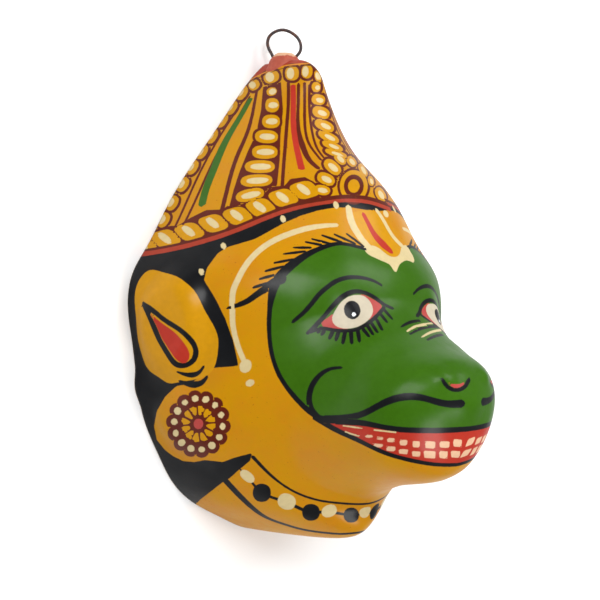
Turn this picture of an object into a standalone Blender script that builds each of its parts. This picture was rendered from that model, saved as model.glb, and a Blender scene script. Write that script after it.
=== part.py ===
"""Jambavan mask: a painted papier-mache animal-face mask with a tall crown and a wire ring.

The mask lies on its open back. The rim is in the plane Z = 0, the face looks up +Z and the
crown points along +Y. The origin is under the middle of the whole object. Units are metres.
"""
import math

import bmesh
import bpy
import numpy as np

# Driving dimensions of the mask.
MASK_HEIGHT = 0.2345      # neck edge to crown top
MASK_WIDTH = 0.179        # across the ears, at the rim
HEAD_DEPTH = 0.0895       # rim plane to forehead
MUZZLE_REACH = 0.0465     # snout in front of the head
WALL = 0.0035             # layered paper and pulp
CROWN_FILL = 0.0080       # solid pulp under the crown top
EAR_RELIEF = 0.0045       # ear pad above the head
LOBE_RELIEF = 0.0035      # ear-disc pad above the head
EYE_RELIEF = 0.0018
NOSTRIL_RELIEF = 0.0014
LOCK_RELIEF = 0.0016      # ends of the hair at the rim

# Driving dimensions of the wire ring and of the lump of pulp that holds it.
WIRE = 0.0016
RING_HALF_WIDTH = 0.0084  # axis of the loop to the middle of the wire
RING_RISE = 0.0170        # crown top to the middle of the wire at the loop's top
RING_ANGLE = math.radians(45)   # the loop's plane against the rim plane
LEG_SHARE = 0.66          # legs' distance from the axis, as a share of RING_HALF_WIDTH
LEG_REACH = 0.0055        # each leg below the pulp, inside the crown
LEG_CLINCH = 0.0055       # its bent end
FIT_GAP = 0.0003          # round the wire in its two holes
STUB_HEIGHT = 0.0052      # lump above the crown top
STUB_LIP = 0.0012         # pulp outside each hole
RING_DEPTH_SHARE = 0.133  # rim plane to the loop's axis, as a share of HEAD_DEPTH

# Fineness of the faceted skins.
SKIN_ROWS, SKIN_COLUMNS = 52, 54
LINING_ROWS, LINING_COLUMNS = 34, 32
WIRE_STEPS = 84
HOLE_SIDES = 12

# Head stations from neck to crown: share of the height, of the half width and of the head
# depth, and the fullness of the cross-section (0.5 is an ellipse).
STATIONS = np.array([
    (0.000, 0.000, 0.000, 0.50),
    (0.004, 0.100, 0.490, 0.50),
    (0.017, 0.235, 0.680, 0.50),
    (0.043, 0.380, 0.735, 0.50),
    (0.081, 0.570, 0.745, 0.52),
    (0.119, 0.687, 0.768, 0.54),
    (0.179, 0.790, 0.845, 0.56),
    (0.247, 0.883, 0.916, 0.57),
    (0.328, 0.939, 0.970, 0.57),
    (0.409, 0.970, 0.998, 0.57),
    (0.486, 1.000, 0.997, 0.57),
    (0.550, 0.966, 0.962, 0.57),
    (0.601, 0.876, 0.885, 0.58),
    (0.682, 0.742, 0.797, 0.62),
    (0.738, 0.638, 0.698, 0.64),
    (0.806, 0.492, 0.528, 0.62),
    (0.878, 0.335, 0.440, 0.54),
    (0.940, 0.200, 0.408, 0.48),
    (0.972, 0.122, 0.388, 0.46),
    (0.993, 0.062, 0.330, 0.46),
    (1.000, 0.000, 0.000, 0.46),
])

# Muzzle profiles on the midline, above and below its middle: distance from the middle as a
# share of the mask height, and share of MUZZLE_REACH.
MUZZLE_MIDDLE_SHARE = 0.290
MUZZLE_TOP = np.array([
    (0.000, 1.00), (0.038, 0.94), (0.064, 0.87), (0.090, 0.735),
    (0.119, 0.43), (0.154, 0.17), (0.196, 0.02), (0.210, 0.00),
])
MUZZLE_CHIN = np.array([
    (0.000, 1.00), (0.043, 0.98), (0.081, 0.99), (0.107, 0.985), (0.128, 0.955),
    (0.145, 0.84), (0.162, 0.40), (0.175, 0.22), (0.192, 0.08), (0.230, 0.00),
])
MUZZLE_TOP_RATIO = 0.59      # how fast the muzzle falls away sideways, above the middle
MUZZLE_CHIN_RATIO = 0.84     # and below it

# The loop's wire from leg to leg: share of RING_HALF_WIDTH, share of RING_RISE.
LOOP = [
    (-0.84, 0.36), (-1.00, 0.58), (-0.90, 0.80), (-0.53, 0.95), (-0.13, 1.00),
    (0.45, 0.91), (0.82, 0.745), (0.98, 0.55), (0.90, 0.33),
]

TOTAL_HEIGHT = MASK_HEIGHT + RING_RISE + WIRE / 2
NECK_Y = -TOTAL_HEIGHT / 2
CROWN_Y = NECK_Y + MASK_HEIGHT
HOLE_RADIUS = WIRE / 2 + FIT_GAP
LEG_OFFSET = LEG_SHARE * RING_HALF_WIDTH
RING_DEPTH = RING_DEPTH_SHARE * HEAD_DEPTH
BELOW_RIM = 0.01              # how far the hollow's tool runs out past the rim


def spline(knots, values, where):
    """Natural cubic spline through the values at the knots, read at `where`."""
    step = np.diff(knots)
    slope = np.diff(values, axis=0) / step[:, None]
    count = len(knots)
    system = np.eye(count)
    bend = np.zeros_like(values)
    for k in range(1, count - 1):
        system[k, k - 1:k + 2] = step[k - 1], 2 * (step[k - 1] + step[k]), step[k]
        bend[k] = 6 * (slope[k] - slope[k - 1])
    curve = np.linalg.solve(system, bend)
    k = np.clip(np.searchsorted(knots, where, side="right") - 1, 0, count - 2)
    t = (where - knots[k])[:, None]
    h = step[k][:, None]
    first = slope[k] - h * (2 * curve[k] + curve[k + 1]) / 6
    return values[k] + t * (first + t * (curve[k] / 2 + t * (curve[k + 1] - curve[k]) / (6 * h)))


def monotone(points, where):
    """Cubic through the points that never overshoots them, flat at both ends."""
    x, y = points.T
    step = np.diff(x)
    slope = np.diff(y) / step
    tangent = np.zeros_like(y)
    rising = slope[:-1] * slope[1:] > 0
    mean = 2 * slope[:-1] * slope[1:] / np.where(rising, slope[:-1] + slope[1:], 1)
    tangent[1:-1] = np.where(rising, mean, 0)
    where = np.clip(where, x[0], x[-1])
    k = np.clip(np.searchsorted(x, where) - 1, 0, len(step) - 1)
    t = (where - x[k]) / step[k]
    rise = t * t * (3 - 2 * t)
    return (y[k] * (1 - rise) + y[k + 1] * rise
            + step[k] * t * (1 - t) * ((1 - t) * tangent[k] - t * tangent[k + 1]))


def muzzle(x, y):
    """Height of the muzzle above the head: two midline profiles, blended round its middle."""
    across = np.abs(x) / MASK_HEIGHT
    along = (y - NECK_Y) / MASK_HEIGHT - MUZZLE_MIDDLE_SHARE
    top = monotone(MUZZLE_TOP, np.hypot(along, MUZZLE_TOP_RATIO * across))
    chin = monotone(MUZZLE_CHIN, np.hypot(along, MUZZLE_CHIN_RATIO * across))
    up = 0.5 + 0.5 * np.sin(np.arctan2(along, 0.7 * across + 1e-9))
    return MUZZLE_REACH * (top * up + chin * (1 - up))


def pad(turn, share, middle, radii, tilt=0.0, edge=2.0):
    """A smooth raised oval on both sides, from 0 outside to 1 in the middle.

    `turn` is the angle round the head, `share` the height share. `middle` and `radii` are
    (angle round the head in quarter turns, share of the height).
    """
    across = (np.abs(turn) / (math.pi / 2) - middle[0]) * 0.59
    along = share - middle[1]
    u = across * math.cos(tilt) + along * math.sin(tilt)
    v = along * math.cos(tilt) - across * math.sin(tilt)
    inside = np.clip((1 - np.hypot(u / radii[0], v / radii[1])) * edge, 0, 1)
    return inside * inside * (3 - 2 * inside)


def relief(turn, share):
    """All raised parts together: ears, ear discs, eyes, nostrils and the hair's ends."""
    ear = EAR_RELIEF * pad(turn, share, (0.800, 0.448), (0.092, 0.130), 0.30, 1.9)
    lobe = LOBE_RELIEF * pad(turn, share, (0.775, 0.255), (0.098, 0.088), 0.0, 1.7)
    eye = EYE_RELIEF * pad(turn, share, (0.205, 0.476), (0.055, 0.045), 0.0, 1.0)
    nostril = NOSTRIL_RELIEF * pad(turn, share, (0.105, 0.355), (0.035, 0.030), 0.0, 1.0)
    locks = LOCK_RELIEF * pad(turn, share, (1.00, 0.320), (0.100, 0.045), 0.0, 1.0)
    return ear + lobe + eye + nostril + locks


def head(rows, columns, raised):
    """Grid of points over the face, rows from neck to crown, columns from rim to rim.

    Each cross-section is a rounded arch, x = half width * sin(turn) and
    z = depth * cos(turn) ** (2 * fullness), with the muzzle on top and the relief along it.
    """
    size = np.array([MASK_HEIGHT, MASK_WIDTH / 2, HEAD_DEPTH, 1.0])
    stations = STATIONS * size
    run = np.linalg.norm(np.diff(stations[:, :3], axis=0) * (1, 0.6, 0.8), axis=1)
    knots = np.concatenate([[0], np.cumsum(run)])
    level, half, depth, full = spline(knots, stations, np.linspace(0, knots[-1], rows)).T[:, :, None]
    half = np.clip(half, 0, None)
    depth = np.clip(depth, 0, None)
    turn = np.linspace(-math.pi / 2, math.pi / 2, columns)[None, :]
    y = NECK_Y + level + 0 * turn
    x = half * np.sin(turn)
    arch = np.clip(np.cos(turn), 0, None) ** (2 * full)
    z = depth * arch + muzzle(x, y) * np.clip(half / (MASK_WIDTH / 8), 0, 1)
    if raised:
        height = relief(turn, level / MASK_HEIGHT)
        x = x + height * np.sin(turn)
        z = z + height * np.cos(turn)
    z[:, [0, -1]] = 0
    return np.stack([x, y, z], axis=-1)


def closed_mesh(name, grid):
    """Closed mesh of a grid: its first and last rows become poles, its edge bounds a flat foot."""
    mesh = bmesh.new()
    rows = [[mesh.verts.new(point) for point in row] for row in grid[1:-1]]
    ends = [mesh.verts.new(grid[0, 0]), mesh.verts.new(grid[-1, 0])]
    for low, high in zip(rows, rows[1:]):
        for k in range(len(low) - 1):
            mesh.faces.new((low[k], low[k + 1], high[k + 1], high[k]))
    for k in range(len(rows[0]) - 1):
        mesh.faces.new((ends[0], rows[0][k + 1], rows[0][k]))
        mesh.faces.new((ends[1], rows[-1][k], rows[-1][k + 1]))
    right = [row[-1] for row in rows]
    left = [row[0] for row in reversed(rows)]
    mesh.faces.new(ends[:1] + right + ends[1:] + left)
    return finished_mesh(name, mesh)


def finished_mesh(name, mesh):
    bmesh.ops.recalc_face_normals(mesh, faces=mesh.faces)
    data = bpy.data.meshes.new(name)
    mesh.to_mesh(data)
    mesh.free()
    return data


def row_at(grid, height):
    """Row of the grid where its middle column first reaches a height, and the next row's number."""
    middle = grid[:, grid.shape[1] // 2, 1]
    above = int(np.argmax(middle > height))
    share = (height - middle[above - 1]) / (middle[above] - middle[above - 1])
    return grid[above - 1] + share * (grid[above] - grid[above - 1]), above


def lining_grid():
    """The hollow: the plain head moved inwards by the wall, square to its own surface.

    It ends square, one wall above the neck's edge and below the crown's solid tip. Its two sides
    stay apart where the crown is narrow.
    """
    grid = head(LINING_ROWS, LINING_COLUMNS, raised=False)
    up, across = np.gradient(grid, axis=(0, 1))
    inward = np.cross(up, across)
    inward /= np.linalg.norm(inward, axis=-1, keepdims=True) + 1e-12
    inward *= -np.sign(inward[LINING_ROWS // 2, LINING_COLUMNS // 2, 2])
    inward[:, [0, -1]] *= (1, 1, 0)
    hollow = grid + WALL * inward
    hollow[:, [0, -1], 2] = -BELOW_RIM
    column = np.arange(LINING_COLUMNS) - (LINING_COLUMNS - 1) / 2
    side = np.sign(column)
    hollow[..., 0] = side * np.maximum(side * hollow[..., 0], side * column * FIT_GAP)
    low, first = row_at(hollow, NECK_Y + 1.2 * WALL)
    high, last = row_at(hollow, CROWN_Y - CROWN_FILL)
    hollow = np.concatenate([[low], hollow[first:last], [high]])
    ends = [0 * row + (0, level, -BELOW_RIM) for row, level in
            ((hollow[0], hollow[0, :, 1].min()), (hollow[-1], hollow[-1, :, 1].max()))]
    return np.concatenate([ends[:1], hollow, ends[1:]])


def link(name, data, material=None):
    thing = bpy.data.objects.new(name, data)
    bpy.context.scene.collection.objects.link(thing)
    if material:
        data.materials.append(material)
    return thing


def finish(name, colour, roughness, metallic=0.0):
    made = bpy.data.materials.new(name)
    made.use_nodes = True
    shader = made.node_tree.nodes["Principled BSDF"]
    shader.inputs["Base Color"].default_value = (*colour, 1)
    shader.inputs["Roughness"].default_value = roughness
    shader.inputs["Metallic"].default_value = metallic
    return made


def tool(name, data):
    """A guide that cuts or joins and isn't part of the object."""
    thing = link(name, data)
    thing.hide_render = True
    thing.display_type = "WIRE"
    return thing


def boolean(target, other, operation):
    modifier = target.modifiers.new(other.name, "BOOLEAN")
    modifier.operation = operation
    modifier.solver = "EXACT"
    modifier.object = other


def beside_axis(offset, height):
    """Point on the loop's plane: `offset` from its axis, `height` above the crown top."""
    return np.array([
        offset * math.cos(RING_ANGLE),
        CROWN_Y + height,
        RING_DEPTH + offset * math.sin(RING_ANGLE),
    ])


def stub_mesh():
    """Lump of pulp round the ring's legs: oval rings from inside the crown to its flat top."""
    shoulder = LEG_OFFSET + HOLE_RADIUS + STUB_LIP
    neck = LEG_OFFSET - HOLE_RADIUS + FIT_GAP
    profile = [
        (-2.2 * WALL, shoulder + 0.6 * WALL), (-0.5 * WALL, shoulder + 0.4 * WALL),
        (0.28 * STUB_HEIGHT, shoulder), (0.58 * STUB_HEIGHT, (shoulder + neck) / 2),
        (0.88 * STUB_HEIGHT, neck), (STUB_HEIGHT, 0.8 * neck),
    ]
    thin = 0.72               # the lump's thickness against its width
    sides = 24
    mesh = bmesh.new()
    rings = []
    for height, radius in profile:
        middle = beside_axis(0, height)
        along = beside_axis(radius, height) - middle
        square = np.array([-along[2], 0, along[0]]) * thin
        angles = [2 * math.pi * k / sides for k in range(sides)]
        rings.append([mesh.verts.new(middle + along * math.cos(a) + square * math.sin(a))
                      for a in angles])
    for low, high in zip(rings, rings[1:]):
        for k in range(sides):
            mesh.faces.new((low[k], low[(k + 1) % sides], high[(k + 1) % sides], high[k]))
    mesh.faces.new(rings[0])
    mesh.faces.new(rings[-1])
    return finished_mesh("stub", mesh)


def leg_hole_mesh(side):
    """Straight bore for one leg, from the hollow out past the lump's top."""
    depth = CROWN_FILL + LEG_REACH + WALL
    corner = HOLE_RADIUS / math.cos(math.pi / HOLE_SIDES)
    mesh = bmesh.new()
    bmesh.ops.create_cone(mesh, cap_ends=True, segments=HOLE_SIDES, radius1=corner,
                          radius2=corner, depth=2 * depth)
    for vertex in mesh.verts:
        along = vertex.co.z
        middle = beside_axis(side * LEG_OFFSET, along)
        vertex.co = (middle[0] + vertex.co.x, middle[1], middle[2] - vertex.co.y)
    return finished_mesh("leg_hole", mesh)


def ring_path():
    """Middle of the wire: clinched end, straight leg, loop, straight leg, clinched end."""
    depth = CROWN_FILL + LEG_REACH
    bend = 2.2 * WIRE
    points = []
    for side in (-1, 1):
        heights = (-depth + bend, -CROWN_FILL, -0.5 * CROWN_FILL, 0, 0.16 * RING_RISE)
        leg = [beside_axis(side * LEG_OFFSET, height) for height in heights]
        elbow = leg[0] + (0, -0.7 * bend, 0.3 * bend)
        start = leg[0] + (0, -bend, bend)
        points.append([start + (0, 0, LEG_CLINCH), start, elbow] + leg)
    loop = [beside_axis(s * RING_HALF_WIDTH, h * RING_RISE) for s, h in LOOP]
    route = np.array(points[0] + loop + points[1][::-1])
    knots = np.concatenate([[0], np.cumsum(np.linalg.norm(np.diff(route, axis=0), axis=1))])
    return spline(knots, route, np.linspace(0, knots[-1], WIRE_STEPS))


def make_mask(material):
    mask = link("mask_shell", closed_mesh("mask_shell", head(SKIN_ROWS, SKIN_COLUMNS, True)), material)
    boolean(mask, tool("ring_stub", stub_mesh()), "UNION")
    boolean(mask, tool("hollow", closed_mesh("hollow", lining_grid())), "DIFFERENCE")
    for side in (-1, 1):
        boolean(mask, tool("leg_hole", leg_hole_mesh(side)), "DIFFERENCE")
    return mask


def make_ring(material):
    curve = bpy.data.curves.new("hanging_ring", "CURVE")
    curve.dimensions = "3D"
    curve.bevel_depth = WIRE / 2
    curve.bevel_resolution = 2
    curve.use_fill_caps = True
    path = ring_path()
    line = curve.splines.new("POLY")
    line.points.add(len(path) - 1)
    for point, place in zip(line.points, path):
        point.co = (*place, 1)
    return link("hanging_ring", curve, material)


for old in list(bpy.data.objects):
    bpy.data.objects.remove(old, do_unlink=True)

make_mask(finish("painted papier-mache", (0.65, 0.33, 0.01), 0.35))
make_ring(finish("bare iron wire", (0.06, 0.05, 0.05), 0.5, 0.8))
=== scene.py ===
"""The looks of an animal-face wall mask: a moulded paper shell painted by hand, and its wire ring.

The mask lies on its open back, with its crown along +Y and its face up +Z, in metres.
"""

import bmesh
import bpy
import numpy as np
from mathutils import Matrix, Vector
from mathutils.bvhtree import BVHTree


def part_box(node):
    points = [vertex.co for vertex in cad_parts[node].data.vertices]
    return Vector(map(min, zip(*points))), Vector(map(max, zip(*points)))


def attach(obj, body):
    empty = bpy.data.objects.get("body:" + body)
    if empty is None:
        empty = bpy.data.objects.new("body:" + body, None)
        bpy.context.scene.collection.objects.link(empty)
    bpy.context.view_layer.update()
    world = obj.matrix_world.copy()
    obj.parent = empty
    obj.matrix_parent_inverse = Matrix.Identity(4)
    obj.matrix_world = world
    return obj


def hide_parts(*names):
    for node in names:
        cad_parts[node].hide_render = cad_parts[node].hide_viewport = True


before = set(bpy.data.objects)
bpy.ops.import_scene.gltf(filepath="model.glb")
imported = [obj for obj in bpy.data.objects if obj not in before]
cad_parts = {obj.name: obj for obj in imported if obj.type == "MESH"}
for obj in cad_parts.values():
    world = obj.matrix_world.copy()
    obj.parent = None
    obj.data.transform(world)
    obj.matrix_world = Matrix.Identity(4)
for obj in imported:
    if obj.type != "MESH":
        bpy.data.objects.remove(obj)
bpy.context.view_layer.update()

# The photograph
# It was taken from the mask's left, half way between its front and its side, at about 0.7 m.
# The mask hangs in it, and lies here, so the camera looks down on it.
eye = np.array([-0.4835, -0.01015, 0.5065])
aim = np.array([0.0115, -0.01015, 0.0115])
subject_distance = 0.7
lens = 82.7
film = 36.0
image_size = 600
lens_pixels = lens / film * image_size


def new_object(name, data):
    """An object that holds a camera, a lamp or a mesh, in the scene."""
    made = bpy.data.objects.new(name, data)
    bpy.context.scene.collection.objects.link(made)
    return made


camera = new_object("camera", bpy.data.cameras.new("camera"))
camera.data.lens = lens
camera.data.sensor_width = film
camera.data.clip_start = 0.01
sight = (aim - eye) / np.linalg.norm(aim - eye)
rightward = np.cross(sight, (0, 1, 0))
rightward /= np.linalg.norm(rightward)
upward = np.cross(rightward, sight)
stance = np.eye(4)
stance[:3] = np.stack([rightward, upward, -sight, eye], axis=1)
camera.matrix_world = Matrix(stance)
bpy.context.scene.camera = camera
bpy.context.scene.view_settings.view_transform = "Standard"


def pixels(places):
    """Where the photograph shows each place: the middle plus the lens' pixels times the place's
    offset across and up the view, over its distance along it."""
    offset = places - eye
    depth = offset @ sight
    return np.stack([image_size / 2 + lens_pixels * (offset @ rightward) / depth,
                     image_size / 2 - lens_pixels * (offset @ upward) / depth], axis=-1)


# The moulded shell
# Layers of paper and cloth with glue and pulp were dried over a clay form, and cut free at the
# back. The rim is in the plane Z = 0. All lengths come from the mask's own box.
mask_height = 0.2345
mask_width = 0.179
head_depth = 0.0895
muzzle_reach = 0.0465
wall = 0.0035
crown_fill = 0.0080       # the crown's solid tip
neck_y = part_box("mask_shell")[0][1]
crown_y = neck_y + mask_height

# Share of the height, of the half width and of the depth, and the arch's fullness.
stations = np.array([
    (0, 0, 0, 0.5), (0.004, 0.1, 0.49, 0.5), (0.017, 0.235, 0.68, 0.5), (0.043, 0.38, 0.735, 0.5),
    (0.081, 0.57, 0.745, 0.52), (0.119, 0.687, 0.768, 0.54), (0.179, 0.79, 0.845, 0.56),
    (0.247, 0.883, 0.916, 0.57), (0.328, 0.939, 0.97, 0.57), (0.409, 0.97, 0.998, 0.57),
    (0.486, 1, 0.997, 0.57), (0.55, 0.966, 0.962, 0.57), (0.601, 0.876, 0.885, 0.58),
    (0.682, 0.742, 0.797, 0.62), (0.738, 0.638, 0.698, 0.64), (0.806, 0.492, 0.528, 0.62),
    (0.878, 0.335, 0.44, 0.54), (0.94, 0.2, 0.408, 0.48), (0.972, 0.122, 0.388, 0.46),
    (0.993, 0.062, 0.33, 0.46), (1, 0, 0, 0.46)])

# The snout's profiles above and below its middle: distance and height, as shares.
snout_middle = 0.290
snout_top = np.array([
    (0, 1), (0.038, 0.94), (0.064, 0.87), (0.09, 0.735), (0.119, 0.43), (0.154, 0.17),
    (0.196, 0.02), (0.21, 0)])
snout_chin = np.array([
    (0, 1), (0.043, 0.98), (0.081, 0.99), (0.107, 0.985), (0.128, 0.955), (0.145, 0.84),
    (0.162, 0.4), (0.175, 0.22), (0.192, 0.08), (0.23, 0)])


def spline(knots, values, where):
    """Natural cubic spline: pieces of a cubic that meet with the same slope and bend, straight
    at both ends."""
    step = np.diff(knots)
    slope = np.diff(values, axis=0) / step[:, None]
    count = len(knots)
    system = np.eye(count)
    bend = np.zeros_like(values, dtype=float)
    for k in range(1, count - 1):
        system[k, k - 1:k + 2] = step[k - 1], 2 * (step[k - 1] + step[k]), step[k]
        bend[k] = 6 * (slope[k] - slope[k - 1])
    curve = np.linalg.solve(system, bend)
    k = np.clip(np.searchsorted(knots, where, side="right") - 1, 0, count - 2)
    t = (where - knots[k])[:, None]
    h = step[k][:, None]
    first = slope[k] - h * (2 * curve[k] + curve[k + 1]) / 6
    return values[k] + t * (first + t * (curve[k] / 2 + t * (curve[k + 1] - curve[k]) / (6 * h)))


def running(steps):
    """Running total of a row of steps, from 0."""
    return np.concatenate([[0], np.cumsum(steps)])


def chords(points):
    """Lengths of the straight pieces between points in a row."""
    return np.linalg.norm(np.diff(points, axis=0), axis=-1)


def along_curve(points, count):
    """Evenly spaced points on the spline through the given ones, which is measured by its chords."""
    points = np.asarray(points, dtype=float)
    knots = running(chords(points))
    return spline(knots, points, np.linspace(0, knots[-1], count))


def monotone(points, where):
    """Cubic through the points with harmonic mean slopes, so that it never overshoots them."""
    x, y = points.T
    step = np.diff(x)
    slope = np.diff(y) / step
    tangent = np.zeros_like(y)
    rising = slope[:-1] * slope[1:] > 0
    mean = 2 * slope[:-1] * slope[1:] / np.where(rising, slope[:-1] + slope[1:], 1)
    tangent[1:-1] = np.where(rising, mean, 0)
    where = np.clip(where, x[0], x[-1])
    k = np.clip(np.searchsorted(x, where) - 1, 0, len(step) - 1)
    t = (where - x[k]) / step[k]
    rise = t * t * (3 - 2 * t)
    return (y[k] * (1 - rise) + y[k + 1] * rise
            + step[k] * t * (1 - t) * ((1 - t) * tangent[k] - t * tangent[k + 1]))


def snout(x, y):
    """Height of the snout: the top profile above its middle and the chin's below, read at the
    distance from the middle and blended by the sine of the direction."""
    across = np.abs(x) / mask_height
    along = (y - neck_y) / mask_height - snout_middle
    top = monotone(snout_top, np.hypot(along, 0.59 * across))
    chin = monotone(snout_chin, np.hypot(along, 0.84 * across))
    up = 0.5 + 0.5 * np.sin(np.arctan2(along, 0.7 * across + 1e-9))
    return muzzle_reach * (top * up + chin * (1 - up))


def pad(turn, share, middle, radii, tilt=0.0, edge=2.0):
    """Smooth oval step on both sides: 1 inside, falling to 0 at the radii by 3 s^2 - 2 s^3."""
    across = (np.abs(turn) / (np.pi / 2) - middle[0]) * 0.59
    along = share - middle[1]
    u = across * np.cos(tilt) + along * np.sin(tilt)
    v = along * np.cos(tilt) - across * np.sin(tilt)
    inside = np.clip((1 - np.hypot(u / radii[0], v / radii[1])) * edge, 0, 1)
    return inside * inside * (3 - 2 * inside)


def relief(turn, share):
    """Ears, ear discs, eyes, nostrils and the hair's ends, as heights above the head."""
    return (0.0045 * pad(turn, share, (0.800, 0.448), (0.092, 0.130), 0.30, 1.9)
            + 0.0035 * pad(turn, share, (0.775, 0.255), (0.098, 0.088), 0.0, 1.7)
            + 0.0018 * pad(turn, share, (0.205, 0.476), (0.055, 0.045), 0.0, 1.0)
            + 0.0014 * pad(turn, share, (0.105, 0.355), (0.035, 0.030), 0.0, 1.0)
            + 0.0016 * pad(turn, share, (1.00, 0.320), (0.100, 0.045), 0.0, 1.0))


def head(level_share, turn, raised):
    """The head over a grid of rows from neck to crown and turns from rim to rim.

    x is the half width times the sine of the turn, z the depth times its cosine to twice the
    fullness, with the snout on top and the relief along the turn.
    """
    sizes = stations * (mask_height, mask_width / 2, head_depth, 1)
    knots = running(np.linalg.norm(np.diff(sizes[:, :3], axis=0) * (1, 0.6, 0.8), axis=1))
    level, half, depth, full = spline(knots, sizes, level_share * knots[-1]).T[:, :, None]
    half = np.clip(half, 0, None)
    depth = np.clip(depth, 0, None)
    y = neck_y + level + 0 * turn
    x = half * np.sin(turn)
    arch = np.clip(np.cos(turn), 0, None) ** (2 * full)
    z = depth * arch + snout(x, y) * np.clip(half / (mask_width / 8), 0, 1)
    if raised:
        height = relief(turn, level / mask_height)
        x = x + height * np.sin(turn)
        z = z + height * np.cos(turn)
    z[:, [0, -1]] = 0
    return np.stack([x, y, z], axis=-1)


def even_steps(values, weights, count):
    """Values spaced so that each step covers the same share of the summed weights."""
    total = running(weights)
    return np.interp(np.linspace(0, total[-1], count), total, values)


# Rows and columns lie closer where the surface is steep.
skin_rows, skin_columns = 301, 241
hollow_rows, hollow_columns = 90, 41
rough_rows = np.linspace(0, 1, 401)
rough_turns = np.linspace(-np.pi / 2, np.pi / 2, 361)
rough = head(rough_rows, rough_turns[None, :], True)
row_steps = chords(rough)
turn_steps = np.linalg.norm(np.diff(rough, axis=1), axis=2)
rows = even_steps(rough_rows, row_steps.mean(axis=1) + row_steps.max(axis=1), skin_rows)
turn_weights = turn_steps.mean(axis=0) + turn_steps.max(axis=0)
turns = even_steps(rough_turns, turn_weights + turn_weights[::-1], skin_columns)
skin = head(rows, turns[None, :], True)
skin[:, skin_columns // 2, 0] = 0


def lining(like_rows):
    """The hollow: the plain head moved inwards by the wall, square to its own surface.

    Its rows are read at the heights of the skin's own rows at the rim, drawn together by a wall
    at the neck and by the crown's solid tip, so that the rim is a strip of even width.
    """
    grid = head(np.linspace(0, 1, hollow_rows),
                np.linspace(-np.pi / 2, np.pi / 2, hollow_columns)[None, :], False)
    up, across = np.gradient(grid, axis=(0, 1))
    inward = np.cross(up, across)
    inward /= np.linalg.norm(inward, axis=-1, keepdims=True) + 1e-12
    inward *= -np.sign(inward[hollow_rows // 2, hollow_columns // 2, 2])
    inward[:, [0, -1]] *= (1, 1, 0)
    hollow = grid + wall * inward
    hollow[:, [0, -1], 2] = 0
    edge = hollow[:, 0, 1]
    first = int(np.argmax(edge > neck_y + 1.2 * wall))
    last = int(np.argmax(edge > crown_y - crown_fill))
    share = (like_rows - like_rows[0]) / (like_rows[-1] - like_rows[0])
    wanted = edge[first] + share * (edge[last] - edge[first])
    at = np.interp(wanted, edge[first:last + 1], np.arange(first, last + 1))
    row = np.minimum(at.astype(int), len(grid) - 2)
    part = (at - row)[:, None, None]
    return hollow[row] * (1 - part) + hollow[row + 1] * part


def corners(values):
    """A grid's values at the four corners of each of its faces, in the faces' own order."""
    return np.stack([values[:-1, :-1], values[:-1, 1:], values[1:, 1:], values[1:, :-1]], axis=-1)


def grid_faces(numbers, flip=False):
    """Quads between the rows and columns of a grid of vertex numbers."""
    quads = corners(numbers).reshape(-1, 4)
    return (quads[:, ::-1] if flip else quads).tolist()


def fan_faces(row, pole, flip=False):
    """Triangles from a row of vertices to one pole."""
    fan = np.stack([row[:-1], row[1:], np.full(len(row) - 1, pole)], axis=-1)
    return (fan[:, ::-1] if flip else fan).tolist()


# The skin's first and last rows are poles on the rim. The lining ends in two more.
hollow = lining(skin[1:-1, 0, 1])
poles = np.array([skin[0, 0], skin[-1, 0],
                  (0, hollow[0, :, 1].min(), 0), (0, hollow[-1, :, 1].max(), 0)])
places = np.concatenate([skin[1:-1].reshape(-1, 3), hollow.reshape(-1, 3), poles])
outer = np.arange((skin_rows - 2) * skin_columns).reshape(skin_rows - 2, skin_columns)
inner = outer.size + np.arange(hollow.shape[0] * hollow.shape[1]).reshape(hollow.shape[:2])
neck_pole, crown_pole, low_pole, high_pole = outer.size + inner.size + np.arange(4)
outer_loop = np.concatenate([outer[:, 0], [crown_pole], outer[::-1, -1], [neck_pole], outer[:1, 0]])
inner_loop = np.concatenate([inner[:, 0], [high_pole], inner[::-1, -1], [low_pole], inner[:1, 0]])
skin_faces = grid_faces(outer)
skin_ends = fan_faces(outer[0], neck_pole, True) + fan_faces(outer[-1], crown_pole)
paper_faces = (grid_faces(inner, True) + fan_faces(inner[0], low_pole)
               + fan_faces(inner[-1], high_pole, True) + grid_faces(np.stack([outer_loop, inner_loop])))


def smooth_object(name, places, faces):
    """A smooth mesh in an object of its own."""
    mesh = bpy.data.meshes.new(name)
    mesh.from_pydata(places.tolist(), [], faces)
    mesh.shade_smooth()
    return new_object(name, mesh)


mask = smooth_object("mask", places, skin_faces + skin_ends + paper_faces)
mesh = mask.data
slots = np.zeros(len(mesh.polygons), dtype=np.int32)
slots[len(skin_faces) + len(skin_ends):] = 1
mesh.polygons.foreach_set("material_index", slots)
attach(mask, "root")
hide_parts("mask_shell")

# The paint
# Flat poster colours go on in coats, from the yellow ground to the fine black and cream lines,
# each laid by hand with a brush. The two sides match, so a stroke is drawn once and mirrored.
skin_tree = BVHTree.FromPolygons(places[:outer.size].tolist(), skin_faces)
skin_grid = skin[1:-1]
skin_pixels = pixels(skin_grid)
row_way, column_way = np.gradient(skin_grid, axis=(0, 1))
skin_normals = np.cross(column_way, row_way)
skin_normals /= np.linalg.norm(skin_normals, axis=-1, keepdims=True)
seen = ((eye - skin_grid) * skin_normals).sum(axis=-1) > 0
near_side = np.broadcast_to(np.arange(skin_columns) <= skin_columns // 2, seen.shape)

paints = {                # red, green and blue as mixed, from 0 to 255
    "yellow": (189, 133, 0), "black": (13, 14, 17), "green": (50, 94, 4), "red": (168, 45, 30),
    "coral": (170, 63, 58), "maroon": (86, 27, 12), "cream": (198, 180, 134), "tooth": (212, 172, 138),
    "leaf": (50, 92, 20), "white": (236, 240, 242), "gold": (198, 126, 34), "brown": (74, 30, 8),
    "ivory": (190, 179, 157), "brick": (152, 52, 33),
}
paint_names = list(paints)


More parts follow.
